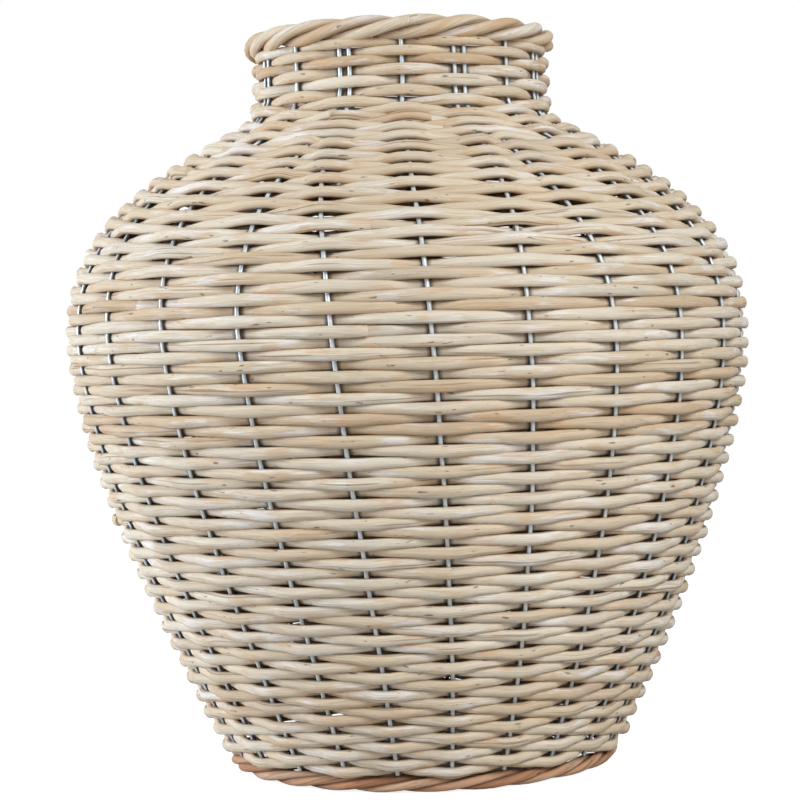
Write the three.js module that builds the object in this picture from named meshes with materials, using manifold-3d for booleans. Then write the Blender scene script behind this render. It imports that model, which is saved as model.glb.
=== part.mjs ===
// Wicker vase: willow rods randed round wire stakes, roped borders at rim and foot, woven base.
// Millimetres, +Z up, front towards -Y, standing on z = 0.
import * as THREE from "three";
import Module from "manifold-3d";

const wasm = await Module();
wasm.setup();

// Wire
const wireRadius = 1.4;
const stakeCount = 24; // even, so every course takes two weavers
const stakesPerUnit = 3; // in the neck one stake stays single and the next two draw together
const pairGap = 6; // between the two wires of a pair
const pairDrop = 12; // how far below the throat the rods begin to pass a pair as one stake
const firstStake = THREE.MathUtils.degToRad(3.7); // right of the front, at the belly
const stakeTwist = THREE.MathUtils.degToRad(7); // lean of the stakes round the vase, foot to rim
const stakeSag = 0.4; // how far a straight run of stake may leave its curve

// Willow rods of the wall
const rodHeight = 5;
const rodDepth = 4;
const rodGrip = 0.5; // clearance between a rod and the wire it passes
const rowGap = 0.2; // least gap between two rows
const bodyRowPitch = 5.7;
const shoulderRowPitch = 6.2;
const courseCount = 10;
const buttGap = 1; // between the end of one weaver and the start of the next
const backStake = 12; // where the weaving starts
const climbStakes = 3; // stakes over which a weaver climbs to its next row

// Stake line, the middle of the wall: foot, belly, throat and neck
const footLineRadius = 111.5;
const footLineHeight = 4;
const footLean = THREE.MathUtils.degToRad(39.5); // of the wall from upright
const footReach = 10.3; // how far the lean carries on up the wall
const bellyRadius = 199.5;
const bellyHeight = 258;
const bellyReachDown = 83;
const bellyReachUp = 59.4;
const shoulderHeight = 118; // belly to throat
const throatOffset = 13; // throat outside the neck
const throatLean = THREE.MathUtils.degToRad(62.1); // of the shoulder from upright
const throatReachDown = 64.1;
const throatReachUp = 9.2;
const neckRadius = 85;
const throatBendHeight = 22.3; // throat to where the neck turns upright
const neckReach = 9.2;

// Roped borders
const ropeStrands = 3;
const ropeOrbit = 4.9; // middle of a strand from the middle of its rope
const ropeStrandHalf = 2.6;
const ropeSteps = 6; // straight runs in one twist of a strand
const rimOffset = 1; // middle of the rim outside the neck
const neckHeight = 41.7; // upright neck with its rim
const rimTwists = 8;
const footOffset = 0; // middle of the foot border outside the foot of the stakes
const footTwists = 10;
const footSole = 0.9; // flattened off the foot strands
const coreRadius = 1.2;
const coreSides = 36;
const borderGap = 0.4; // between a border and the weave

// Base
const spokeCount = 11; // odd, so one weaver alternates by itself
const spokeHalf = 1.2;
const spokeGrip = 1.1;
const hubRadius = 21;
const firstBaseRow = 24.5;
const baseLift = 2; // clear height below the base weave

// Colours
const willow = { color: 0xdccbb0, roughness: 0.8, metalness: 0 };
const brownWillow = { color: 0x9a6a43, roughness: 0.8, metalness: 0 };
const wire = { color: 0xb4bab9, roughness: 0.45, metalness: 0.9 };

// Sizes that follow
const throatLevel = bellyHeight + shoulderHeight;
const neckLevel = throatLevel + throatBendHeight;
const rimTop = neckLevel + neckHeight;
const throatRadius = neckRadius + throatOffset;
const rimRadius = neckRadius + rimOffset;
const footRadius = footLineRadius + footOffset;
const rodOffset = wireRadius + rodGrip + rodDepth / 2;
const ropeHalf = ropeOrbit + ropeStrandHalf;
const rimHeight = rimTop - ropeHalf;
const footHeight = ropeHalf - footSole;

const vase = new THREE.Group();
vase.name = "wicker_vase";

function addPart(name, geometry, look) {
  const mesh = new THREE.Mesh(geometry, new THREE.MeshStandardMaterial(look));
  mesh.name = name;
  vase.add(mesh);
}

// Point at an angle round the vase, from the front towards the right
function around(radius, angle, height) {
  return new THREE.Vector3(radius * Math.sin(angle), -radius * Math.cos(angle), height);
}

// Closed body swept through rings of equal corner count, its sides split along the shorter diagonal
function sweep(rings, closed) {
  const corners = rings[0].length;
  const points = rings.flat();
  const faces = [];
  const runs = closed ? rings.length : rings.length - 1;
  for (let i = 0; i < runs; i += 1) {
    const here = i * corners;
    const next = ((i + 1) % rings.length) * corners;
    for (let j = 0; j < corners; j += 1) {
      const k = (j + 1) % corners;
      const [a, b, c, d] = [here + j, here + k, next + k, next + j];
      const rising = points[a].distanceTo(points[c]) <= points[b].distanceTo(points[d]);
      faces.push(...(rising ? [a, b, c, a, c, d] : [a, b, d, b, c, d]));
    }
  }
  if (!closed) {
    const last = (rings.length - 1) * corners;
    for (let j = 1; j < corners - 1; j += 1) {
      faces.push(0, j + 1, j, last, last + j, last + j + 1);
    }
  }
  const geometry = new THREE.BufferGeometry().setFromPoints(points);
  geometry.setIndex(faces);
  geometry.computeVertexNormals();
  return geometry;
}

// Stake line in radius and height, from foot to rim
const stakeLine = new THREE.CurvePath();
const belly = new THREE.Vector2(bellyRadius, bellyHeight);
const foot = new THREE.Vector2(footLineRadius, footLineHeight);
const throat = new THREE.Vector2(throatRadius, throatLevel);
const neck = new THREE.Vector2(neckRadius, neckLevel);
const footRise = new THREE.Vector2(Math.sin(footLean), Math.cos(footLean));
const throatRise = new THREE.Vector2(-Math.sin(throatLean), Math.cos(throatLean));
const upright = new THREE.Vector2(0, 1);
const beyond = (point, way, reach) => point.clone().addScaledVector(way, reach);
const bend = (start, startWay, startReach, end, endWay, endReach) =>
  new THREE.CubicBezierCurve(start, beyond(start, startWay, startReach), beyond(end, endWay, -endReach), end);
stakeLine.add(bend(foot, footRise, footReach, belly, upright, bellyReachDown));
stakeLine.add(bend(belly, upright, bellyReachUp, throat, throatRise, throatReachDown));
stakeLine.add(bend(throat, throatRise, throatReachUp, neck, upright, neckReach));
stakeLine.add(new THREE.LineCurve(neck, new THREE.Vector2(neckRadius, rimTop)));

// The stake line in even steps of length, with its direction and bend at every step
const lineSteps = 2400;
const lineLength = stakeLine.getLength();
const line = [];
for (const curve of stakeLine.curves) {
  const count = Math.round((lineSteps * curve.getLength()) / lineLength);
  curve.arcLengthDivisions = 4 * count;
  curve.updateArcLengths();
  for (let i = 0; i < count; i += 1) {
    const point = curve.getPointAt(i / count);
    const way = curve.getTangentAt(i / count);
    line.push({ r: point.x, z: point.y, angle: Math.atan2(way.x, way.y) });
  }
}
line.push({ r: neckRadius, z: rimTop, angle: 0 });
line.forEach((here, i) => {
  const before = line[Math.max(i - 1, 0)];
  here.s = i === 0 ? 0 : before.s + Math.hypot(here.r - before.r, here.z - before.z);
});
line.forEach((here, i) => {
  const from = line[Math.max(i - 12, 0)];
  const to = line[Math.min(i + 12, line.length - 1)];
  here.bend = Math.abs(to.angle - from.angle) / (to.s - from.s);
});

function lineAt(s) {
  let low = 0;
  let high = line.length - 1;
  while (high - low > 1) {
    const middle = (low + high) >> 1;
    if (line[middle].s <= s) low = middle;
    else high = middle;
  }
  const share = (s - line[low].s) / (line[high].s - line[low].s);
  const mix = (key) => THREE.MathUtils.lerp(line[low][key], line[high][key], share);
  return { r: mix("r"), z: mix("z"), angle: mix("angle"), bend: mix("bend") };
}

// Whether a stake that ends here, and the rods on both sides of it, stand clear of the foot border
function clearOfFoot({ r, z, angle }) {
  const across = rodOffset + rodDepth / 2;
  const outs = [-1, -0.75, -0.5, -0.25, 0, 0.25, 0.5, 0.75, 1].map((share) => share * across);
  return outs.every((out) => {
    const outward = r + out * Math.cos(angle) - footRadius;
    const upward = z - out * Math.sin(angle) - footHeight;
    return Math.hypot(outward, upward) > Math.hypot(ropeHalf, ropeStrandHalf) + borderGap;
  });
}

const lengthAtHeight = (z) => line.find((here) => here.z >= z).s;
const throatLength = lengthAtHeight(throatLevel);
const pairLength = lengthAtHeight(throatLevel - pairDrop);
const neckLength = lengthAtHeight(neckLevel);
const bellyLength = lengthAtHeight(bellyHeight);
const stakeStart = line.find(clearOfFoot).s;
const stakeEnd = lengthAtHeight(rimHeight - ropeHalf - borderGap);

// Angle of a stake at a length up the line
function stakeAngle(stake, s) {
  const place = stake % stakesPerUnit;
  const unitStart = stake - place;
  const step = (2 * Math.PI) / stakeCount;
  const pairMiddle = stakesPerUnit / 2;
  const pairHalf = pairGap / 2 / neckRadius / step;
  const drawn = place === 0 ? 0 : place === 1 ? pairMiddle - pairHalf : pairMiddle + pairHalf;
  const gather = THREE.MathUtils.smoothstep(s, bellyLength, neckLength);
  const turn = stakeTwist * ((bellyLength - s) / stakeEnd);
  return firstStake + turn + step * (unitStart + THREE.MathUtils.lerp(place, drawn, gather));
}

// Corner of a section, out from the line and along it
function wallPoint(s, angle, out, along) {
  const here = lineAt(s);
  const sin = Math.sin(here.angle);
  const cos = Math.cos(here.angle);
  return around(here.r + out * cos + along * sin, angle, here.z - out * sin + along * cos);
}

// Stops of the stakes' straight runs, closer together where the line bends more
function stopsBetween(start, end) {
  const inside = line.filter(({ s }) => s > start && s < end);
  const runs = [0];
  for (let i = 1; i < inside.length; i += 1) {
    const length = inside[i].s - inside[i - 1].s;
    runs.push(runs[i - 1] + length * Math.sqrt(inside[i].bend / (8 * stakeSag)));
  }
  const count = Math.max(1, Math.ceil(runs.at(-1)));
  const stops = [start];
  for (let i = 1; i < count; i += 1) {
    stops.push(inside[runs.findIndex((below) => below >= (runs.at(-1) * i) / count)].s);
  }
  return stops;
}

const stakeJoints = [stakeStart, bellyLength, throatLength, neckLength, stakeEnd];
const stakeStops = stakeJoints.slice(1).flatMap((end, i) => stopsBetween(stakeJoints[i], end));
stakeStops.push(stakeEnd);

for (let stake = 0; stake < stakeCount; stake += 1) {
  const rings = stakeStops.map((s) => {
    const angle = stakeAngle(stake, s);
    const aside = wireRadius / lineAt(s).r;
    return [
      wallPoint(s, angle, wireRadius, 0),
      wallPoint(s, angle + aside, 0, 0),
      wallPoint(s, angle, -wireRadius, 0),
      wallPoint(s, angle - aside, 0, 0),
    ];
  });
  addPart(`stake_${String(stake + 1).padStart(2, "0")}`, sweep(rings, false), wire);
}

// Lengths of the rows up the line: wider apart on the shoulder and in a bend, close in the neck
function rowPitch(s) {
  const near = line.filter((here) => Math.abs(here.s - s - rodHeight / 2) < rodHeight);
  const sharpest = Math.max(...near.map((here) => here.bend));
  const closest = (rodHeight + rowGap) / (1 - rodDepth * sharpest);
  if (s > neckLength) return closest;
  const up = THREE.MathUtils.smoothstep(s, bellyLength, throatLength);
  return Math.max(closest, THREE.MathUtils.lerp(bodyRowPitch, shoulderRowPitch, up));
}

const firstRow = stakeStart + rodHeight / 2;
const lastRow = stakeEnd - rodHeight / 2;
const closeRows = [firstRow];
while (closeRows.at(-1) < lastRow) {
  const s = closeRows.at(-1);
  closeRows.push(s + rowPitch(s));
}
const rowCount = 2 * Math.floor((closeRows.length - 1) / 2);
const spread = (lastRow - firstRow) / (closeRows[rowCount - 1] - firstRow);
const rows = closeRows.slice(0, rowCount).map((s) => firstRow + (s - firstRow) * spread);

// Row of a weaver at a step: level round the vase, then up two rows at the back
function rowAt(weaver, step) {
  const turn = Math.floor(step / stakeCount);
  const climb = Math.max(0, (step % stakeCount) - stakeCount + climbStakes) / climbStakes;
  const row = 2 * (turn + climb) + weaver;
  const low = Math.floor(row);
  return THREE.MathUtils.lerp(rows[low], rows[Math.ceil(row)], row - low);
}

// Section of a weaver where it passes a stake
function weaverRing(weaver, step) {
  const s = rowAt(weaver, step);
  const stake = (step + backStake) % stakeCount;
  const inPairs = s > pairLength;
  const turnAbout = inPairs ? Math.min(stake % stakesPerUnit, 1) : stake % 2;
  const out = (turnAbout + weaver) % 2 === 0 ? rodOffset : -rodOffset;
  const angle = stakeAngle(stake, s);
  const corner = (x, y) => wallPoint(s, angle, out + (x * rodDepth) / 2, (y * rodHeight) / 2);
  return [corner(-1, -1), corner(-1, 1), corner(1, 1), corner(1, -1)];
}

function weaverRingBetween(weaver, step) {
  const low = weaverRing(weaver, Math.floor(step));
  const high = weaverRing(weaver, Math.ceil(step));
  return low.map((corner, i) => corner.clone().lerp(high[i], step - Math.floor(step)));
}

// Courses of two weavers each, in whole turns
const turnCount = rowCount / 2;
const lastStep = turnCount * stakeCount - climbStakes;
const courseStart = (course) => Math.round((course * turnCount) / courseCount) * stakeCount;
for (let course = 0; course < courseCount; course += 1) {
  for (let weaver = 0; weaver < 2; weaver += 1) {
    const from = courseStart(course);
    const to = Math.min(courseStart(course + 1) - 1, lastStep);
    const run = (2 * Math.PI * lineAt(rowAt(weaver, from)).r) / stakeCount;
    const butt = 0.5 - buttGap / 2 / run;
    const rings = [];
    if (course > 0) rings.push(weaverRingBetween(weaver, from - butt));
    for (let step = from; step <= to; step += 1) rings.push(weaverRing(weaver, step));
    if (course < courseCount - 1) rings.push(weaverRingBetween(weaver, to + butt));
    const number = String(course + 1).padStart(2, "0");
    addPart(`weaver_${number}${"ab"[weaver]}`, sweep(rings, false), willow);
  }
}

// Strand of a rope that goes round the vase
function ropeStrand(radius, height, twists, strand) {
  const count = twists * ropeSteps;
  const rings = [];
  for (let i = 0; i < count; i += 1) {
    const lay = 2 * Math.PI * (i / ropeSteps + strand / ropeStrands - 0.25);
    const corner = (x, y) => {
      const out = ropeOrbit + x * ropeStrandHalf;
      const aside = y * ropeStrandHalf;
      return around(
        radius + out * Math.cos(lay) - aside * Math.sin(lay),
        (2 * Math.PI * i) / count,
        height + out * Math.sin(lay) + aside * Math.cos(lay),
      );
    };
    rings.push([corner(1, 1), corner(1, -1), corner(-1, -1), corner(-1, 1)]);
  }
  return sweep(rings, true);
}

function coreRing(radius, height) {
  const rings = [];
  for (let i = 0; i < coreSides; i += 1) {
    const angle = (2 * Math.PI * i) / coreSides;
    rings.push([
      around(radius + coreRadius, angle, height),
      around(radius, angle, height - coreRadius),
      around(radius - coreRadius, angle, height),
      around(radius, angle, height + coreRadius),
    ]);
  }
  return sweep(rings, true);
}

// Solids for cutting
function toManifold(geometry) {
  const mesh = new wasm.Mesh({
    numProp: 3,
    vertProperties: new Float32Array(geometry.attributes.position.array),
    triVerts: new Uint32Array(geometry.index.array),
  });
  mesh.merge();
  return new wasm.Manifold(mesh);
}

function toGeometry(solid) {
  const mesh = solid.getMesh();
  const geometry = new THREE.BufferGeometry();
  geometry.setAttribute("position", new THREE.BufferAttribute(new Float32Array(mesh.vertProperties), 3));
  geometry.setIndex(new THREE.BufferAttribute(new Uint32Array(mesh.triVerts), 1));
  geometry.computeVertexNormals();
  return geometry;
}

// Rim and foot borders, each three strands twisted round a wire ring
const floorBlock = new THREE.BoxGeometry(4 * footRadius, 4 * footRadius, 2 * ropeHalf);
floorBlock.translate(0, 0, -ropeHalf);
const floorSolid = toManifold(floorBlock);
for (let strand = 0; strand < ropeStrands; strand += 1) {
  addPart(`rim_strand_${strand + 1}`, ropeStrand(rimRadius, rimHeight, rimTwists, strand), willow);
  const whole = toManifold(ropeStrand(footRadius, footHeight, footTwists, strand));
  addPart(`foot_strand_${strand + 1}`, toGeometry(whole.subtract(floorSolid)), brownWillow);
}
addPart("rim_ring", coreRing(rimRadius, rimHeight), wire);
addPart("foot_ring", coreRing(footRadius, footHeight), wire);

// Base frame of welded wires: a hub with spokes
const baseOffset = spokeHalf + spokeGrip + rodDepth / 2;
const baseHeight = baseLift + baseOffset + rodDepth / 2;
const spokeEnd = footRadius - Math.hypot(ropeHalf, ropeStrandHalf) - borderGap;
const star = new THREE.Shape();
for (let spoke = 0; spoke < spokeCount; spoke += 1) {
  const middle = (2 * Math.PI * spoke) / spokeCount;
  const sides = [[hubRadius, -1], [spokeEnd, -1], [spokeEnd, 1], [hubRadius, 1]];
  sides.forEach(([radius, side], i) => {
    const x = radius * Math.cos(middle) - side * spokeHalf * Math.sin(middle);
    const y = radius * Math.sin(middle) + side * spokeHalf * Math.cos(middle);
    if (spoke === 0 && i === 0) star.moveTo(x, y);
    else star.lineTo(x, y);
  });
}
star.closePath();
const frame = new THREE.ExtrudeGeometry(star, { depth: 2 * spokeHalf, bevelEnabled: false });
frame.rotateZ(-Math.PI / 2);
frame.translate(0, 0, baseHeight - spokeHalf);
addPart("base_frame", frame, wire);

// Base weaver, one spiral over and under the spokes
const baseRings = [];
const baseReach = spokeEnd - rodHeight / 2;
for (let step = 0; ; step += 1) {
  const radius = firstBaseRow + ((rodHeight + rowGap) * step) / spokeCount;
  if (radius > baseReach) break;
  const angle = (2 * Math.PI * step) / spokeCount;
  const up = baseHeight + (step % 2 === 0 ? baseOffset : -baseOffset);
  const corner = (x, y) => around(radius + (x * rodHeight) / 2, angle, up + (y * rodDepth) / 2);
  baseRings.push([corner(1, 1), corner(1, -1), corner(-1, -1), corner(-1, 1)]);
}
addPart("base_weaver", sweep(baseRings, false), willow);

export default vase;
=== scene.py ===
import math
import random
from bisect import bisect_right

import bmesh
import bpy
from mathutils import Euler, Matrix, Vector, noise
from mathutils.geometry import interpolate_bezier


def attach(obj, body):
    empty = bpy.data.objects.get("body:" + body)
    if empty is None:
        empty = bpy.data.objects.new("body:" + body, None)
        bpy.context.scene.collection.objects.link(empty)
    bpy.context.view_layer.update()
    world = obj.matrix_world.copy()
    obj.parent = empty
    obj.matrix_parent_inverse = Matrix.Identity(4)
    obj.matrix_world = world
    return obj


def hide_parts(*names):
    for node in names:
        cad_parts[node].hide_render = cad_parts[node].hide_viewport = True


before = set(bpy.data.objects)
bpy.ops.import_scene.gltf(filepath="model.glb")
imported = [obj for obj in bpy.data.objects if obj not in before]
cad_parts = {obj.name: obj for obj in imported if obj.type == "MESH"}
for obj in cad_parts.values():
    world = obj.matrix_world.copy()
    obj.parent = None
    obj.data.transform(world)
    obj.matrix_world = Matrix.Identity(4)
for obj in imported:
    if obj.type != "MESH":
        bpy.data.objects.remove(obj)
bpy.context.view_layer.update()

scene = bpy.context.scene
print("frame loaded with", len(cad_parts), "nodes")

# the wall that everything is woven on

wall = {  # metres and degrees, (radius, height) pairs
    "foot": (0.1115, 0.004), "footLean": 39.5, "footReach": 0.0103,
    "belly": (0.1995, 0.258), "bellyReachDown": 0.083, "bellyReachUp": 0.0594,
    "throat": (0.098, 0.376), "throatLean": -62.1, "throatReachDown": 0.0641, "throatReachUp": 0.0092,
    "neck": (0.085, 0.3983), "neckReach": 0.0092, "rimTop": 0.440,
    "stakeCount": 24, "stakesPerUnit": 3, "pairGap": 0.006, "pairDrop": 0.012,
    "firstStake": 3.7, "stakeTwist": 7.0,
    "rodHeight": 0.005, "rodDepth": 0.004, "rowGap": 0.0002, "bodyPitch": 0.0057, "shoulderPitch": 0.0062,
    "stakeStartHeight": 0.0108, "stakeEndHeight": 0.4246,
    "bendSteps": 900, "neckSteps": 60, "leanStep": 0.0029,  # how finely the line is measured
    "sway": [(0.0, 0.003), (0.07, 0.003), (0.13, 0.0018), (0.2, 0.0006), (0.28, -0.0008),
             (0.345, -0.002), (0.375, -0.0016), (0.405, 0.0), (0.45, 0.0)],  # the axis is not quite straight
}


def smooth(x):
    x = min(max(x, 0.0), 1.0)
    return x * x * (3 - 2 * x)


def mix(a, b, share):
    return a + (b - a) * share


def around(radius, angle, height):  # front is -Y, angles go to the right
    return Vector((radius * math.sin(angle), -radius * math.cos(angle), height))


def swayed(point):
    for (low, before), (high, after) in zip(wall["sway"], wall["sway"][1:]):
        if point.z <= high:
            point.x += mix(before, after, smooth((point.z - low) / (high - low)))
            return point
    return point


def bendLine(start, startLean, startReach, end, endLean, endReach):
    def way(lean):
        return Vector((math.sin(math.radians(lean)), math.cos(math.radians(lean)), 0))
    a, b = Vector((*start, 0)), Vector((*end, 0))
    handles = a + way(startLean) * startReach, b - way(endLean) * endReach
    return interpolate_bezier(a, *handles, b, wall["bendSteps"])


def measureLine():
    w = wall
    foot = w["foot"], w["footLean"], w["footReach"]
    belly, throat, neck = w["belly"], w["throat"], w["neck"]
    points = bendLine(*foot, belly, 0, w["bellyReachDown"])[:-1]
    points += bendLine(belly, 0, w["bellyReachUp"], throat, w["throatLean"], w["throatReachDown"])[:-1]
    points += bendLine(throat, w["throatLean"], w["throatReachUp"], neck, 0, w["neckReach"])[:-1]
    for i in range(w["neckSteps"] + 1):
        points.append(Vector((neck[0], mix(neck[1], w["rimTop"], i / w["neckSteps"]), 0)))
    lengths, leans = [0.0], []
    for a, b in zip(points, points[1:]):
        lengths.append(lengths[-1] + (b - a).length)
        leans.append(math.atan2(b.x - a.x, b.y - a.y))
    return points, lengths, leans + [0.0]


linePoints, lineLengths, lineLeans = measureLine()


def lineAt(s):  # radius, height and lean at a length up the wall
    i = min(max(bisect_right(lineLengths, s) - 1, 0), len(linePoints) - 2)
    share = (s - lineLengths[i]) / (lineLengths[i + 1] - lineLengths[i])
    point = linePoints[i].lerp(linePoints[i + 1], share)
    return point.x, point.y, mix(lineLeans[i], lineLeans[i + 1], share)


def lengthAtHeight(z):
    return next(s for p, s in zip(linePoints, lineLengths) if p.y >= z)


bellyLength = lengthAtHeight(wall["belly"][1])
neckLength = lengthAtHeight(wall["neck"][1])
throatLength = lengthAtHeight(wall["throat"][1])
pairLength = lengthAtHeight(wall["throat"][1] - wall["pairDrop"])
stakeStart = lengthAtHeight(wall["stakeStartHeight"])
stakeEnd = lengthAtHeight(wall["stakeEndHeight"])


def stakeAngle(stake, s):
    unit = wall["stakesPerUnit"]
    place = stake % unit
    step = 2 * math.pi / wall["stakeCount"]
    pairHalf = wall["pairGap"] / 2 / wall["neck"][0] / step
    drawn = 0 if place == 0 else unit / 2 - pairHalf if place == 1 else unit / 2 + pairHalf
    gather = smooth((s - bellyLength) / (neckLength - bellyLength))
    turn = math.radians(wall["stakeTwist"]) * (bellyLength - s) / stakeEnd
    return math.radians(wall["firstStake"]) + turn + step * (stake - place + mix(place, drawn, gather))


def wallPoint(s, angle, out):  # a place out from the middle of the wall, and the way out there
    radius, height, lean = lineAt(s)
    way = around(math.cos(lean), angle, -math.sin(lean))
    return around(radius, angle, height) + way * out, way


def measureRows():
    def bendAt(s):
        step = wall["leanStep"]
        return abs(lineAt(s + step)[2] - lineAt(s - step)[2]) / (2 * step)
    w = wall
    first, last = stakeStart + w["rodHeight"] / 2, stakeEnd - w["rodHeight"] / 2
    rows = [first]
    while rows[-1] < last:
        s = rows[-1]
        sharpest = max(bendAt(s + w["rodHeight"] * (0.5 + k / 10)) for k in range(-10, 11))
        pitch = (w["rodHeight"] + w["rowGap"]) / (1 - w["rodDepth"] * sharpest)
        if s <= neckLength:  # looser on the shoulder
            up = smooth((s - bellyLength) / (throatLength - bellyLength))
            pitch = max(pitch, mix(w["bodyPitch"], w["shoulderPitch"], up))
        rows.append(s + pitch)
    count = 2 * ((len(rows) - 1) // 2)
    spread = (last - first) / (rows[count - 1] - first)
    return [first + (s - first) * spread for s in rows[:count]]


rows = measureRows()
print("wall line", round(lineLengths[-1], 4), "m,", len(rows), "rows")

# shader helpers


class Reading:  # a number on its way through the nodes
    def __init__(self, paint, socket):
        self.paint, self.socket = paint, socket

    def maths(self, operation, *values):
        return self.paint.node("ShaderNodeMath", {"operation": operation}, dict(enumerate(values)))

    def __add__(self, other):
        return self.maths("ADD", self, other)

    def __sub__(self, other):
        return self.maths("SUBTRACT", self, other)

    def __rsub__(self, other):
        return self.maths("SUBTRACT", other, self)

    def __mul__(self, other):
        return self.maths("MULTIPLY", self, other)

    __radd__, __rmul__ = __add__, __mul__


class Paint:  # the nodes of one material, or of the world
    def __init__(self, owner):
        self.owner = owner
        owner.use_nodes = True
        self.tree = owner.node_tree
        self.tree.nodes.clear()

    def node(self, kind, settings=None, sockets=None, output=0):
        made = self.tree.nodes.new(kind)
        for key, value in (settings or {}).items():
            if key == "stops":
                ramp = made.color_ramp.elements
                while len(ramp) < len(value):
                    ramp.new(0.5)
                for stop, (place, colour) in zip(ramp, value):
                    stop.position, stop.color = place, colour
            else:
                setattr(made, key, value)
        for key, value in (sockets or {}).items():
            if isinstance(value, Reading):
                self.tree.links.new(value.socket, made.inputs[key])
            else:
                made.inputs[key].default_value = value
        return Reading(self, made.outputs[output]) if made.outputs else made

    def attribute(self, name, output):
        return self.node("ShaderNodeAttribute", {"attribute_name": name}, output=output)

    def stretch(self, vector, scale, shift=(0, 0, 0)):
        return self.node("ShaderNodeMapping", {}, {"Vector": vector, "Scale": scale, "Location": shift})

    def grain(self, vector, scale, detail=3.0, roughness=0.55, shift=(0, 0, 0)):
        place = self.stretch(vector, scale, shift)
        sockets = {"Vector": place, "Scale": 1.0, "Detail": detail, "Roughness": roughness}
        return self.node("ShaderNodeTexNoise", {}, sockets)

    def between(self, value, low, high, least=0.0, most=1.0):  # soft step
        sockets = {"Value": value, "From Min": low, "From Max": high, "To Min": least, "To Max": most}
        return self.node("ShaderNodeMapRange", {"interpolation_type": "SMOOTHSTEP"}, sockets)

    def blend(self, share, first, second, kind="MIX"):
        settings = {"data_type": "RGBA", "blend_type": kind}
        return self.node("ShaderNodeMix", settings, {0: share, 6: first, 7: second}, output=2)

    def surface(self, shader, kind="Material"):
        self.node(f"ShaderNodeOutput{kind}", {}, {"Surface": shader})
        return self.owner


def srgb(r, g, b):  # 0 to 255 as a colour picker shows it
    parts = [c / 255 for c in (r, g, b)]
    return tuple(c / 12.92 if c <= 0.04045 else ((c + 0.055) / 1.055) ** 2.4 for c in parts) + (1.0,)


# willow, pale with traces of whitewash, or brown

paleWillow = {
    "tones": [(0.0, srgb(229, 215, 193)), (0.3, srgb(225, 208, 183)), (0.6, srgb(220, 201, 173)),
              (0.85, srgb(216, 194, 164)), (0.96, srgb(212, 186, 154)), (1.0, srgb(204, 174, 138))],
    "streak": srgb(184, 148, 108), "streakShare": 0.5,
    "blush": srgb(214, 168, 122), "blushShare": 0.5, "blushStart": 0.54,
    "wash": srgb(238, 232, 227), "washShare": 0.7, "washStart": 0.53,
    # brown for unwashed wood, which also paints shade on the rod flanks, the inner side and the passes behind
    # the wires
    "bareAndShade": srgb(150, 116, 82), "bareAndShadeShare": 0.6,
    "grey": srgb(190, 188, 182), "greyShare": 0.35,
    "mark": srgb(84, 62, 44), "markShare": 0.7, "markStart": 0.68,
    "seam": srgb(132, 98, 66), "seamShare": 0.6,
    # painted shade colour for the crevices beside the wires
    "creviceShade": srgb(92, 72, 52), "creviceShadeShare": 0.8,
    "cut": srgb(206, 184, 150), "roughness": 0.74, "bump": 0.5,
}
brownWillow = {
    "tones": [(0.0, srgb(204, 160, 126)), (0.3, srgb(188, 138, 100)), (0.52, srgb(212, 176, 144)),
              (0.72, srgb(168, 116, 82)), (0.88, srgb(194, 148, 112)), (1.0, srgb(146, 100, 70))],
    "streak": srgb(112, 72, 48), "streakShare": 0.75,
    "blush": srgb(204, 138, 92), "blushShare": 0.5, "blushStart": 0.52,
    "wash": srgb(222, 202, 182), "washShare": 0.4, "washStart": 0.58,
    # brown for unwashed wood, which also paints shade on the rod flanks, the inner side and the passes behind
    # the wires
    "bareAndShade": srgb(92, 58, 38), "bareAndShadeShare": 0.75,
    "grey": srgb(160, 138, 122), "greyShare": 0.25,
    "mark": srgb(62, 40, 28), "markShare": 0.8, "markStart": 0.68,
    "seam": srgb(92, 56, 36), "seamShare": 0.6,
    # painted shade colour for the crevices beside the wires
    "creviceShade": srgb(70, 46, 32), "creviceShadeShare": 0.8,
    "cut": srgb(188, 150, 108), "roughness": 0.7, "bump": 0.5,
}


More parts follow.
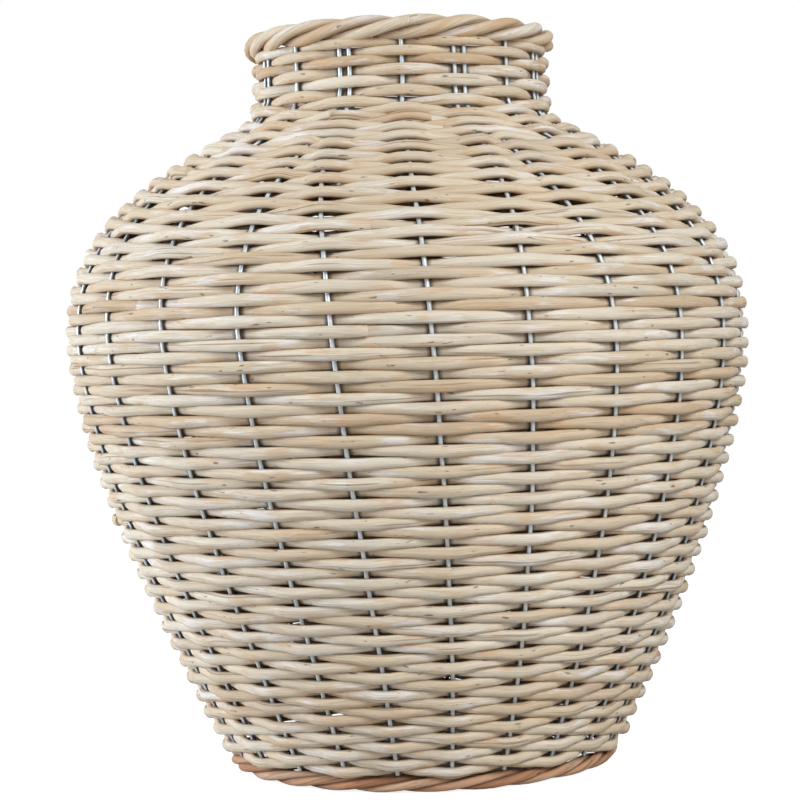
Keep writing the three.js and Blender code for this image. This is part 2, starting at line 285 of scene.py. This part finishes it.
def willow(name, look):
    p = Paint(bpy.data.materials.new(name))
    rod = p.attribute("rodSpace", "Vector")  # across the rod, then along it, metres
    tone = p.attribute("rodTone", "Fac")
    cut = p.attribute("rodCut", "Fac")
    bareAndShade = p.attribute("rodBare", "Fac")  # 0 on the outside, where the wash reached, rising over the flanks to 1 on the inner side, and more where the rod passes behind a wire; unwashed wood, and painted shade in the crevices
    near = p.attribute("rodNear", "Fac")  # 1 right behind a wire, 0 from 8 mm away; sets the painted shade in the crevice there
    fibre = p.grain(rod, (2600, 2600, 45), 4, 0.6)
    streaks = p.grain(rod, (620, 620, 17), 4, 0.6, (3, 1, 0))
    blotch = p.grain(rod, (120, 120, 22), 4, 0.62, (7, 2, 5))
    cloud = p.grain(rod, (90, 90, 9), 2, 0.5, (1, 9, 4))
    flush = p.grain(rod, (150, 150, 40), 3, 0.6, (8, 3, 2))
    specks = p.grain(rod, (420, 420, 110), 2, 0.5, (4, 4, 8))
    seams = p.grain(rod, (520, 520, 6), 1, 0.4, (2, 6, 1))
    shade = tone + (cloud - 0.5) * 0.5
    colour = p.node("ShaderNodeValToRGB", {"stops": look["tones"]}, {"Fac": shade})
    streak = p.between(streaks, 0.5, 0.72) * look["streakShare"]
    colour = p.blend(streak, colour, look["streak"])
    blush = p.between(flush, look["blushStart"], look["blushStart"] + 0.14) * look["blushShare"]
    colour = p.blend(blush, colour, look["blush"])
    grey = p.between(cloud, 0.55, 0.75) * look["greyShare"]
    colour = p.blend(grey, colour, look["grey"])
    washed = p.between(blotch + (fibre - 0.5) * 0.25, look["washStart"], look["washStart"] + 0.16)
    colour = p.blend(washed * look["washShare"], colour, look["wash"])
    # unwashed brown on the inner side, and painted shade on the flanks between rows and on the passes behind
    # the wires
    hidden = p.between(bareAndShade + (blotch - 0.5) * 0.5, 0.28, 0.7)
    colour = p.blend(hidden * look["bareAndShadeShare"], colour, look["bareAndShade"])
    # painted shade: rods turn dark brown for about 8 mm either side of a wire they pass behind, standing in for
    # the shadow in that crevice
    creviceShade = p.between(near + (blotch - 0.5) * 0.5, 0.42, 0.8) * look["creviceShadeShare"]
    colour = p.blend(creviceShade, colour, look["creviceShade"])
    seam = p.between(seams, 0.66, 0.74) * look["seamShare"]
    colour = p.blend(seam, colour, look["seam"])
    mark = p.between(specks, look["markStart"], look["markStart"] + 0.07) * look["markShare"]
    colour = p.blend(mark, colour, look["mark"])
    lines = p.between(fibre, 0.3, 0.7, 0.86, 1.08)
    lined = p.node("ShaderNodeCombineColor", {}, {0: lines, 1: lines, 2: lines})
    colour = p.blend(1.0, colour, lined, "MULTIPLY")
    colour = p.blend(cut * 0.7, colour, look["cut"])
    rough = look["roughness"] + (blotch - 0.5) * 0.3
    height = fibre * 0.35 + streaks * 0.5 + blotch * 0.7 - mark * 0.6 - seam * 0.4
    bump = p.node("ShaderNodeBump", {}, {"Strength": look["bump"], "Distance": 0.0006, "Height": height})
    return p.surface(p.node("ShaderNodeBsdfPrincipled", {}, {
        "Base Color": colour, "Roughness": rough, "Normal": bump, "Specular IOR Level": 0.3}))


galvanised = {
    "bright": srgb(230, 235, 235), "dull": srgb(204, 211, 212), "stain": srgb(150, 142, 130),
    # the near-black colour on this line is painted shade for the wire's flanks and back
    "wash": srgb(230, 229, 224), "backShade": srgb(62, 62, 60), "backShadeShare": 0.85, "roughness": 0.42,
}


def wire(name, look):
    p = Paint(bpy.data.materials.new(name))
    rod = p.attribute("rodSpace", "Vector")
    spangle = p.grain(rod, (420, 420, 160), 3, 0.6)
    wear = p.grain(rod, (160, 160, 40), 3, 0.6, (5, 2, 3))
    colour = p.blend(p.between(spangle, 0.35, 0.65), look["dull"], look["bright"])
    washed = p.between(wear, 0.52, 0.66) * 0.6
    colour = p.blend(washed, colour, look["wash"])
    stain = p.between(wear, 0.36, 0.26) * 0.55
    colour = p.blend(stain, colour, look["stain"])
    bareAndShade = p.attribute("rodBare", "Fac")
    # painted shade: the wire is darkened on its flanks and on the side towards the wall, standing in for the
    # shadow in the crevices beside it
    backShade = p.between(bareAndShade + (wear - 0.5) * 0.2, 0.16, 0.42) * look["backShadeShare"]
    colour = p.blend(backShade, colour, look["backShade"])
    rough = look["roughness"] + washed * 0.4 + (spangle - 0.5) * 0.2
    bump = p.node("ShaderNodeBump", {}, {"Strength": 0.3, "Distance": 0.0003, "Height": spangle + wear})
    return p.surface(p.node("ShaderNodeBsdfPrincipled", {}, {
        "Base Color": colour, "Roughness": rough, "Metallic": 0.3 - 0.2 * washed, "Normal": bump}))


paleRods = willow("paleWillow", paleWillow)
brownRods = willow("brownWillow", brownWillow)
wireFinish = wire("galvanisedWire", galvanised)
print("materials ready")

# rods as rolled grids

skin = {  # cut ends, and how the skins lie on their map
    "bluntDepth": 0.00025, "bluntShare": 0.94, "cutLean": (0.8, 0.6),
    "stripSlack": 1.12, "squareSlack": 1.03, "stripMargin": 0.05, "capSpace": 1.2, "capStep": 2.6,
    "weld": 1e-6,
}


class Rod:  # points along a rod with its thickness and the way out of the wall
    def __init__(self, tone, start=0.0, slopes=(0.0, 0.0), closed=False):
        self.points, self.ways, self.radii = [], [], []
        self.depths, self.insets, self.nears = [], [], []
        self.tone, self.start, self.slopes, self.closed = tone, start, slopes, closed

    def add(self, point, way, radius, depth=1.0, inset=0.0, near=0.0):
        self.points.append(point)
        self.ways.append(way)
        self.radii.append(radius)
        self.depths.append(depth)
        self.insets.append(inset)
        self.nears.append(near)

    def heading(self, i):
        n = len(self.points) - 1
        before = self.points[i - 1] if i > 0 else self.points[n - 1] if self.closed else self.points[0]
        after = self.points[i + 1] if i < n else self.points[1] if self.closed else self.points[n]
        return (after - before).normalized()

    def blunt(self):  # a last short ring at each cut end
        for last, inner in ((0, 1), (-1, -2)):
            at = last % len(self.points)
            step = (self.points[inner] - self.points[last]).normalized() * skin["bluntDepth"]
            self.points.insert(max(at, 1), self.points[last] + step)
            for values in (self.ways, self.radii, self.depths, self.insets, self.nears):
                values.insert(at, values[at])
            self.radii[last] *= skin["bluntShare"]


def stripSide(rods, tall):  # side of the square that all the rods' skins fill in strips
    area = sum((b - a).length for rod in rods for a, b in zip(rod.points, rod.points[1:])) * tall
    return math.sqrt(area) * skin["squareSlack"] + tall


def layStrips(rod, side, strip, reach):  # where each run of a rod starts on the map
    begins, strips, travelled = [], [], [0.0]
    for a, b in zip(rod.points, rod.points[1:]):
        length = (b - a).length
        if reach + length > side:
            strip, reach = strip + 1, 0.0
        begins.append(reach)
        strips.append(strip)
        reach += length
        travelled.append(travelled[-1] + length)
    return begins, strips, travelled, strip, reach


def skinPoint(rod, i, turn):  # across the rod, and in place
    heading = rod.heading(i)
    out = (rod.ways[i] - heading * rod.ways[i].dot(heading)).normalized()
    aside = heading.cross(out)
    x, y = math.cos(turn) * rod.radii[i] * rod.depths[i], math.sin(turn) * rod.radii[i]
    count = len(rod.points) - 1
    slope = 0 if rod.closed else rod.slopes[0] if i < 2 else rod.slopes[1] if i > count - 2 else 0
    lean = slope * (x * skin["cutLean"][0] + y * skin["cutLean"][1])
    return x, y, swayed(rod.points[i] + out * x + aside * y + heading * lean)


def capEnds(bm, bakeMap, level):  # flat cut ends, on a strip of their own
    rims = [e for e in bm.edges if e.is_boundary]
    caps = bmesh.ops.holes_fill(bm, edges=rims, sides=0)["faces"] if rims else []
    reach = 0.0
    for face in caps:
        middle = face.calc_center_median()
        size = max((v.co - middle).length for v in face.verts)
        for k, loop in enumerate(face.loops):
            turn = 2 * math.pi * k / len(face.loops)
            across, up = skin["capSpace"] + math.cos(turn), skin["capSpace"] + math.sin(turn)
            loop[bakeMap].uv = (reach + size * across, level + size * up)
        reach += size * skin["capStep"]
    return caps


def addPiece(name, bm, material, nodes):
    mesh = bpy.data.meshes.new(name)
    bm.to_mesh(mesh)
    bm.free()
    piece = bpy.data.objects.new(name, mesh)
    scene.collection.objects.link(piece)
    mesh.materials.append(material)
    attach(piece, "root")
    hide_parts(*nodes)


def rollRods(name, rods, material, nodes, sides=10, floorLevel=None):
    bm = bmesh.new()
    bakeMap = bm.loops.layers.uv.new("OFBake")
    space = bm.verts.layers.float_vector.new("rodSpace")
    toneLayer = bm.verts.layers.float.new("rodTone")
    cutLayer = bm.verts.layers.float.new("rodCut")
    bareAndShadeLayer = bm.verts.layers.float.new("rodBare")
    nearLayer = bm.verts.layers.float.new("rodNear")
    tall = 2 * math.pi * max(max(rod.radii) for rod in rods) * skin["stripSlack"]
    side = stripSide(rods, tall)
    margin = skin["stripMargin"]
    strip, reach = 0, 0.0
    for rod in rods:
        count = len(rod.points) - 1
        grid = bmesh.ops.create_grid(bm, x_segments=count, y_segments=sides, size=0.5)["verts"]
        spot = {v: (round((v.co.x + 0.5) * count), round((v.co.y + 0.5) * sides)) for v in grid}
        begins, strips, travelled, strip, reach = layStrips(rod, side, strip, reach)
        for face in {f for v in grid for f in v.link_faces}:
            i = min(spot[v][0] for v in face.verts)
            for loop in face.loops:
                along, across = spot[loop.vert]
                u = begins[i] + travelled[along] - travelled[i]
                loop[bakeMap].uv = (u, (strips[i] + margin + (1 - 2 * margin) * across / sides) * tall)
            face.smooth = True
        for v, (i, j) in spot.items():
            turn = 2 * math.pi * j / sides
            x, y, v.co = skinPoint(rod, i, turn)
            if floorLevel is not None and v.co.z < floorLevel:
                v.co.z = floorLevel
            v[space] = (x, y, rod.start + travelled[i])
            v[toneLayer] = rod.tone
            # 0 on the outer face to 1 on the inner face, plus the recess behind wires: unwashed wood and
            # painted shade
            v[bareAndShadeLayer] = (1 - math.cos(turn)) / 2 + rod.insets[i]
            v[nearLayer] = rod.nears[i]
            v[cutLayer] = 1.0 if not rod.closed and i in (0, count) else 0.0
    bmesh.ops.remove_doubles(bm, verts=bm.verts, dist=skin["weld"])
    caps = capEnds(bm, bakeMap, (strip + 1) * tall)
    bmesh.ops.recalc_face_normals(bm, faces=bm.faces)
    for face in caps:
        for edge in face.edges:
            edge.smooth = False
    whole = max(side, (strip + 2) * tall)
    for face in bm.faces:
        for loop in face.loops:
            loop[bakeMap].uv = loop[bakeMap].uv / whole
    addPiece(name, bm, material, nodes)


# upright wires

stakeWire = {"radius": 0.0014, "sides": 8, "spacing": 0.006, "lean": 0.0004, "leanPace": 30}


def setStakes():
    for stake in range(wall["stakeCount"]):
        rod = Rod(0.5, stake * 1.7)
        count = round((stakeEnd - stakeStart) / stakeWire["spacing"])
        for k in range(count + 1):
            s = mix(stakeStart, stakeEnd, k / count)
            sway = stakeWire["lean"] * noise.noise((s * stakeWire["leanPace"], stake * 7.3, 1.0)) / lineAt(s)[0]
            rod.add(*wallPoint(s, stakeAngle(stake, s) + sway, 0.0), stakeWire["radius"])
        rod.blunt()
        number = f"{stake + 1:02d}"
        node = f"stake_{number}"
        rollRods(f"stakeWire_{number}", [rod], wireFinish, [node], stakeWire["sides"])
    print("stakes set")


setStakes()

# willow rods of the wall

weave = {
    "courses": 10, "backStake": 12, "climbStakes": 3, "seed": 41,
    "rodLength": (13, 30),  # stakes passed by one rod
    "fullness": 1.05,  # rod thickness against the row height
    "thickest": 0.0062, "butt": (1.0, 1.06), "tip": (0.96, 1.0),
    "bite": 0.0008,  # how far a rod is dented by the wire
    "squeeze": 0.32, "spread": 0.16, "pinch": 2.2,  # flatter, taller and sharply bent where it passes a wire
    "ringsPerStake": 8, "sides": 10,
    "outsideEnds": 0.14,  # share of the rods that end on the outside
    "shortest": 7, "endSlope": 0.9, "ringClear": 0.3,
    "lap": (0.28, 0.5), "startLap": (0.3, 0.5),  # stakes
    "firstLap": 1.4,  # the first ends go under the weave
    "endOut": 0.0016, "endIn": -0.0042, "startIn": -0.0030, "tuckStakes": 0.8,
    "thickDrift": (0.04, 0.9), "wander": (0.0002, 0.7), "bulge": (0.0006, 0.8),  # size, and pace a stake
    "sway": (0.0012, 0.31), "swayRows": 0.12,  # rows rise and dip together
    # this line also sets how much the passes behind the wires are browned, as unwashed wood and painted shade,
    # and how far the painted crevice shade reaches from a wire
    "neckPinch": 1.2, "neckSpread": 0.6, "innerBareAndShade": 0.25, "creviceShadeReach": 0.008, "neckTan": 0.75,
}


def rowPlace(weaver, step):  # row counted from the foot, level but for a climb at the back
    stakes, climb = wall["stakeCount"], weave["climbStakes"]
    turn = math.floor(step / stakes)
    rise = smooth((step - turn * stakes - stakes + climb) / climb)
    return 2 * (turn + rise) + weaver


def rowLength(row):
    low = min(max(math.floor(row), 0), len(rows) - 2)
    return mix(rows[low], rows[low + 1], row - low)


def outsideAt(weaver, step):  # 1 in front of the stake, -1 behind it
    stake = step + weave["backStake"]
    paired = rowLength(rowPlace(weaver, step)) > pairLength
    turnAbout = min(stake % wall["stakesPerUnit"], 1) if paired else stake % 2
    return 1 if (turnAbout + weaver) % 2 == 0 else -1


def weaverAngle(step, s):
    low = math.floor(step)
    stake = low + weave["backStake"]
    return mix(stakeAngle(stake, s), stakeAngle(stake + 1, s), step - low)


def drift(setting, step, key, lane):  # slow change along a rod
    size, pace = setting
    return size * noise.noise((step * pace, key, lane))


def wallRod(weaver, start, end, dice, startTuck, endTuck):
    w = weave
    thick = [dice.uniform(*w["butt"]), dice.uniform(*w["tip"])]
    dice.shuffle(thick)
    slope = w["endSlope"]
    tone, grainStart = dice.random(), dice.uniform(0, 40)
    rod = Rod(tone, grainStart, (dice.uniform(-slope, slope), dice.uniform(-slope, slope)))
    if rowLength(rowPlace(weaver, start)) > neckLength:
        rod.tone = mix(rod.tone, 1.0, w["neckTan"])
    key = dice.uniform(0, 500)
    rings, clear = w["ringsPerStake"], w["ringClear"]  # one ring right at each wire
    inner = range(math.ceil(start * rings + clear), math.floor(end * rings - clear) + 1)
    for step in [start, *(j / rings for j in inner), end]:
        share = (step - start) / (end - start)
        row = rowPlace(weaver, step)
        s = rowLength(row)
        above = min(row + 1, len(rows) - 1)
        pitch = rowLength(above) - rowLength(above - 1)
        low = math.floor(step)
        swing = (1 - math.cos(math.pi * (step - low))) / 2
        side = mix(outsideAt(weaver, low), outsideAt(weaver, low + 1), swing)
        radius = min(pitch * w["fullness"], w["thickest"]) / 2 * mix(*thick, share)
        radius *= 1 + drift(w["thickDrift"], step, key, 3.1)
        calm = smooth((s - throatLength) / (neckLength - throatLength))  # wires are closer in the neck
        side = math.copysign(abs(side) ** mix(w["pinch"], w["neckPinch"], calm), side)
        radius *= 1 + w["spread"] * mix(1, w["neckSpread"], calm) * abs(side)
        depth = 1 - w["squeeze"] * abs(side)
        out = side * (stakeWire["radius"] + radius * depth - w["bite"])
        out += drift(w["bulge"], step, key, 0.0)
        s += drift(w["wander"], step, key, 9.0)
        s += drift(w["sway"], step, row * w["swayRows"], 4.0)
        out += startTuck * (1 - smooth((step - start) / w["tuckStakes"]))
        out += endTuck * (1 - smooth((end - step) / w["tuckStakes"]))
        spacing = lineAt(s)[0] * (stakeAngle(low + 1, s) - stakeAngle(low, s))
        fromWire = abs(step - round(step)) * spacing
        # closeness to a wire on a pass behind it, which sets the painted crevice shade
        near = max(0.0, 1 - fromWire / w["creviceShadeReach"]) if side < 0 else 0.0
        # recess behind a wire, browned as unwashed wood and as painted shade
        bareAndShade = w["innerBareAndShade"] * max(0.0, -side)
        rod.add(*wallPoint(s, weaverAngle(step, s), out), radius, depth, bareAndShade, near)
    rod.blunt()
    return rod


def weaveWall():
    w = weave
    stakes = wall["stakeCount"]
    turns = len(rows) // 2
    last = turns * stakes - w["climbStakes"]
    starts = [math.floor(course * turns / w["courses"] + 0.5) for course in range(w["courses"])]
    cuts = [turn * stakes for turn in starts] + [last + 1]
    for weaver in (0, 1):
        dice = random.Random(w["seed"] + weaver)
        joint, tuck = cuts[0], 0.0
        for course in range(w["courses"]):
            rods = []
            while joint < cuts[course + 1]:
                start, startTuck = joint, tuck
                joint = min(start + dice.randint(*w["rodLength"]), cuts[course + 1])
                if cuts[course + 1] - joint < w["shortest"]:
                    joint = cuts[course + 1]
                outside = dice.random() < w["outsideEnds"]
                for _ in range(2):  # a second time past the two wires of a pair
                    if joint <= last and (outsideAt(weaver, joint) > 0) != outside:
                        joint += 1
                end = min(joint, last)
                lap = dice.uniform(*w["lap"])
                begin = start - (dice.uniform(*w["startLap"]) if start > 0 else w["firstLap"])
                finish = end + (lap if end < last else 0)
                endTuck = 0.0 if end == last else w["endOut"] if outside else w["endIn"]
                rods.append(wallRod(weaver, begin, finish, dice, startTuck, endTuck))
                tuck = w["startIn"] if outside else 0.0
            number = f"{course + 1:02d}{'ab'[weaver]}"
            rollRods(f"wallRods_{number}", rods, paleRods, [f"weaver_{number}"], w["sides"])
    print("wall woven in", 2 * w["courses"], "courses")


weaveWall()

# twisted borders

twist = {
    "strands": 3, "ringsPerTwist": 16, "sides": 12, "coreSides": 8, "coreSteps": 96,
    "drift": 1.7, "layDrift": 0.35, "orbitDrift": (0.10, 2.3), "thickDrift": (0.10, 3.1),  # size and pace
}
rimBorder = {
    "radius": 0.0862, "height": 0.4297, "twists": 6, "orbit": 0.0040, "flat": 0.95, "strand": 0.0034,
    "core": 0.0012, "seed": 7, "tones": (0.85, 0.6, 1.0),
}
footBorder = {
    "radius": 0.1120, "height": 0.0046, "twists": 8, "orbit": 0.0030, "flat": 0.7, "strand": 0.0025,
    "core": 0.0012, "seed": 9, "tones": (0.1, 0.55, 0.8),
}


def twistBorder(name, border, material, floorLevel=None):
    t = twist
    dice = random.Random(border["seed"])
    for strand in range(t["strands"]):
        rod = Rod(border["tones"][strand], dice.uniform(0, 30), closed=True)
        count = border["twists"] * t["ringsPerTwist"]
        key = dice.uniform(0, 90)
        for k in range(count + 1):
            share = k / count
            angle = 2 * math.pi * share
            place = Vector((math.cos(angle) * t["drift"], math.sin(angle) * t["drift"], key))
            lay = 2 * math.pi * (border["twists"] * share + strand / t["strands"] - 0.25)
            lay += t["layDrift"] * noise.noise(place)
            (orbitSize, orbitPace), (thickSize, thickPace) = t["orbitDrift"], t["thickDrift"]
            orbit = border["orbit"] * (1 + orbitSize * noise.noise(place * orbitPace))
            radius = border["strand"] * (1 + thickSize * noise.noise(place * thickPace))
            way = around(math.cos(lay), angle, math.sin(lay))
            reach = around(math.cos(lay), angle, math.sin(lay) * border["flat"]) * orbit
            rod.add(around(border["radius"], angle, border["height"]) + reach, way, radius)
        node = f"{name}_strand_{strand + 1}"
        rollRods(f"{name}Rod_{strand + 1}", [rod], material, [node], t["sides"], floorLevel)
    ring = Rod(0.5, closed=True)
    for k in range(t["coreSteps"] + 1):
        angle = 2 * math.pi * k / t["coreSteps"]
        ring.add(around(border["radius"], angle, border["height"]), around(1, angle, 0), border["core"])
    rollRods(f"{name}Ring", [ring], wireFinish, [f"{name}_ring"], t["coreSides"])
    print(name, "border twisted")


twistBorder("rim", rimBorder, paleRods)
twistBorder("foot", footBorder, brownRods, 0.0)

# base: spokes on a welded hub, and one spiral of rods

base = {
    "spokes": 11, "spokeRadius": 0.0012, "hub": 0.021, "end": 0.1054, "height": 0.0083,
    "spokeStart": 0.010, "spokeSteps": 20, "innerHub": 0.55, "ringSteps": 48, "spokeSides": 8,
    "firstRow": 0.0245, "pitch": 0.0052, "rodRadius": 0.0026, "seed": 5, "sides": 10,
    "edge": 0.00275, "clear": 0.0002,  # to the foot border, and between a rod and a spoke
    "rodSpokes": (16, 30, 2), "shortest": 10, "lap": 0.4, "ringsPerSpoke": 5,
    "endSlope": 0.8, "endLift": 0.003, "tuckSpokes": 0.8,
}


def makeBaseFrame():
    b = base
    up = Vector((0, 0, 1))
    wires = []
    for spoke in range(b["spokes"]):
        rod = Rod(0.5, spoke * 0.9)
        angle = 2 * math.pi * spoke / b["spokes"]
        for k in range(b["spokeSteps"] + 1):
            radius = mix(b["spokeStart"], b["end"], k / b["spokeSteps"])
            rod.add(around(radius, angle, b["height"]), up, b["spokeRadius"])
        rod.blunt()
        wires.append(rod)
    for radius in (b["hub"] * b["innerHub"], b["hub"]):  # rings that the spokes are welded to
        ring = Rod(0.5, radius * 9, closed=True)
        for k in range(b["ringSteps"] + 1):
            angle = 2 * math.pi * k / b["ringSteps"]
            ring.add(around(radius, angle, b["height"]), up, b["spokeRadius"])
        wires.append(ring)
    rollRods("baseSpokes", wires, wireFinish, ["base_frame"], b["spokeSides"])


def weaveBase():
    b = base
    dice = random.Random(b["seed"])
    steps = math.floor((b["end"] - b["edge"] - b["firstRow"]) / b["pitch"] * b["spokes"])
    slope = b["endSlope"]
    rods, start = [], 0
    while start < steps:
        end = min(start + dice.randrange(*b["rodSpokes"]), steps)
        if steps - end < b["shortest"]:
            end = steps
        tone, grainStart = dice.random(), dice.uniform(0, 40)
        rod = Rod(tone, grainStart, (dice.uniform(-slope, slope), dice.uniform(-slope, slope)))
        first, last = start - (b["lap"] if start else 0.0), end + (b["lap"] if end < steps else 0.0)
        count = round((last - first) * b["ringsPerSpoke"])
        for k in range(count + 1):
            step = mix(first, last, k / count)
            low = math.floor(step)
            swing = (1 - math.cos(math.pi * (step - low))) / 2
            side = mix(1 - 2 * (low % 2), 1 - 2 * ((low + 1) % 2), swing)
            lift = b["endLift"] * (1 - smooth((last - step) / b["tuckSpokes"])) if end < steps else 0.0
            radius = b["firstRow"] + b["pitch"] * step / b["spokes"]
            height = b["height"] + side * (b["spokeRadius"] + b["rodRadius"] + b["clear"]) + lift
            angle = 2 * math.pi * step / b["spokes"]
            rod.add(around(radius, angle, height), Vector((0, 0, 1)), b["rodRadius"])
        rod.blunt()
        rods.append(rod)
        start = end
    rollRods("baseRods", rods, paleRods, ["base_weaver"], b["sides"])
    print("base woven with", len(rods), "rods")


makeBaseFrame()
weaveBase()

# floor, light and camera

studio = {
    "ambient": 0.24, "floor": srgb(190, 190, 190), "floorGlow": 0.86,
    "floorRadius": 6.0, "floorDrop": 0.0004, "aimHeight": 0.22,
    "lamps": {  # place, size, power and colour
        "leftLamp": ((-2.7, 0.05, 0.5), 1.6, 84.0, (0.89, 1.0, 1.15)),
        "rightLamp": ((1.5, -2.12, 1.8), 1.6, 67.0, (0.94, 1.0, 1.06)),
        "frontLamp": ((-0.4, -2.6, 0.35), 1.6, 7.0, (1.03, 1.0, 0.95)),
    },
}


def makeFloor():
    bm = bmesh.new()
    bmesh.ops.create_circle(bm, cap_ends=True, segments=64, radius=studio["floorRadius"])
    bmesh.ops.translate(bm, verts=bm.verts, vec=(0, 0, -studio["floorDrop"]))
    mesh = bpy.data.meshes.new("studioFloor")
    bm.to_mesh(mesh)
    bm.free()
    floor = bpy.data.objects.new("studioFloor", mesh)
    scene.collection.objects.link(floor)
    p = Paint(bpy.data.materials.new("studioFloor"))
    path = p.node("ShaderNodeLightPath", {}, {}, "Is Camera Ray")
    matt = p.node("ShaderNodeBsdfDiffuse", {}, {"Color": studio["floor"]})
    glow = p.node("ShaderNodeEmission", {}, {"Color": (1, 1, 1, 1), "Strength": path * studio["floorGlow"]})
    top = p.node("ShaderNodeAddShader", {}, {0: matt, 1: glow})
    below = p.node("ShaderNodeNewGeometry", {}, {}, "Backfacing")  # clear from underneath
    clear = p.node("ShaderNodeBsdfTransparent")
    mesh.materials.append(p.surface(p.node("ShaderNodeMixShader", {}, {0: below, 1: top, 2: clear})))


def makeWorld():  # white behind the vase, a dim room in front of it
    p = Paint(bpy.data.worlds.new("studio"))
    seen = p.node("ShaderNodeLightPath", {}, {}, "Is Camera Ray")
    mirrored = p.node("ShaderNodeLightPath", {}, {}, "Is Glossy Ray")
    way = p.node("ShaderNodeSeparateXYZ", {}, {0: p.node("ShaderNodeTexCoord", {}, {}, "Generated")}, "Y")
    white = seen.maths("MAXIMUM", seen, mirrored * p.between(way, -0.1, 0.4))
    level = studio["ambient"] + white * (1 - studio["ambient"])
    room = p.node("ShaderNodeBackground", {}, {"Color": (1, 1, 1, 1), "Strength": level})
    scene.world = p.surface(room, "World")


def addLamp(name, place, size, power, colour):
    lamp = bpy.data.lights.new(name, "AREA")
    lamp.shape, lamp.size, lamp.energy, lamp.color = "DISK", size, power, colour
    holder = bpy.data.objects.new(name, lamp)
    holder.location = place
    aim = Vector((0, 0, studio["aimHeight"])) - Vector(place)
    holder.rotation_euler = aim.to_track_quat("-Z", "Y").to_euler()
    scene.collection.objects.link(holder)


view = {
    "distance": 1.353, "height": 0.2512, "pitch": 1.475, "yaw": 0.24, "roll": 1.6,
    "lens": 100.5, "sensor": 36.0, "clip": (0.01, 50.0),
}


def makeCamera():
    eye = bpy.data.cameras.new("camera")
    eye.lens, eye.sensor_width = view["lens"], view["sensor"]
    eye.clip_start, eye.clip_end = view["clip"]
    holder = bpy.data.objects.new("camera", eye)
    holder.location = (0, -view["distance"], view["height"])
    turn = Euler((math.radians(90 - view["pitch"]), 0, math.radians(view["yaw"])))
    roll = Euler((0, 0, -math.radians(view["roll"])))
    holder.rotation_euler = (turn.to_matrix() @ roll.to_matrix()).to_euler()
    scene.collection.objects.link(holder)
    scene.camera = holder


makeFloor()
makeWorld()
for name, lamp in studio["lamps"].items():
    addLamp(name, *lamp)
makeCamera()
scene.view_settings.view_transform = "Standard"
print("studio ready")
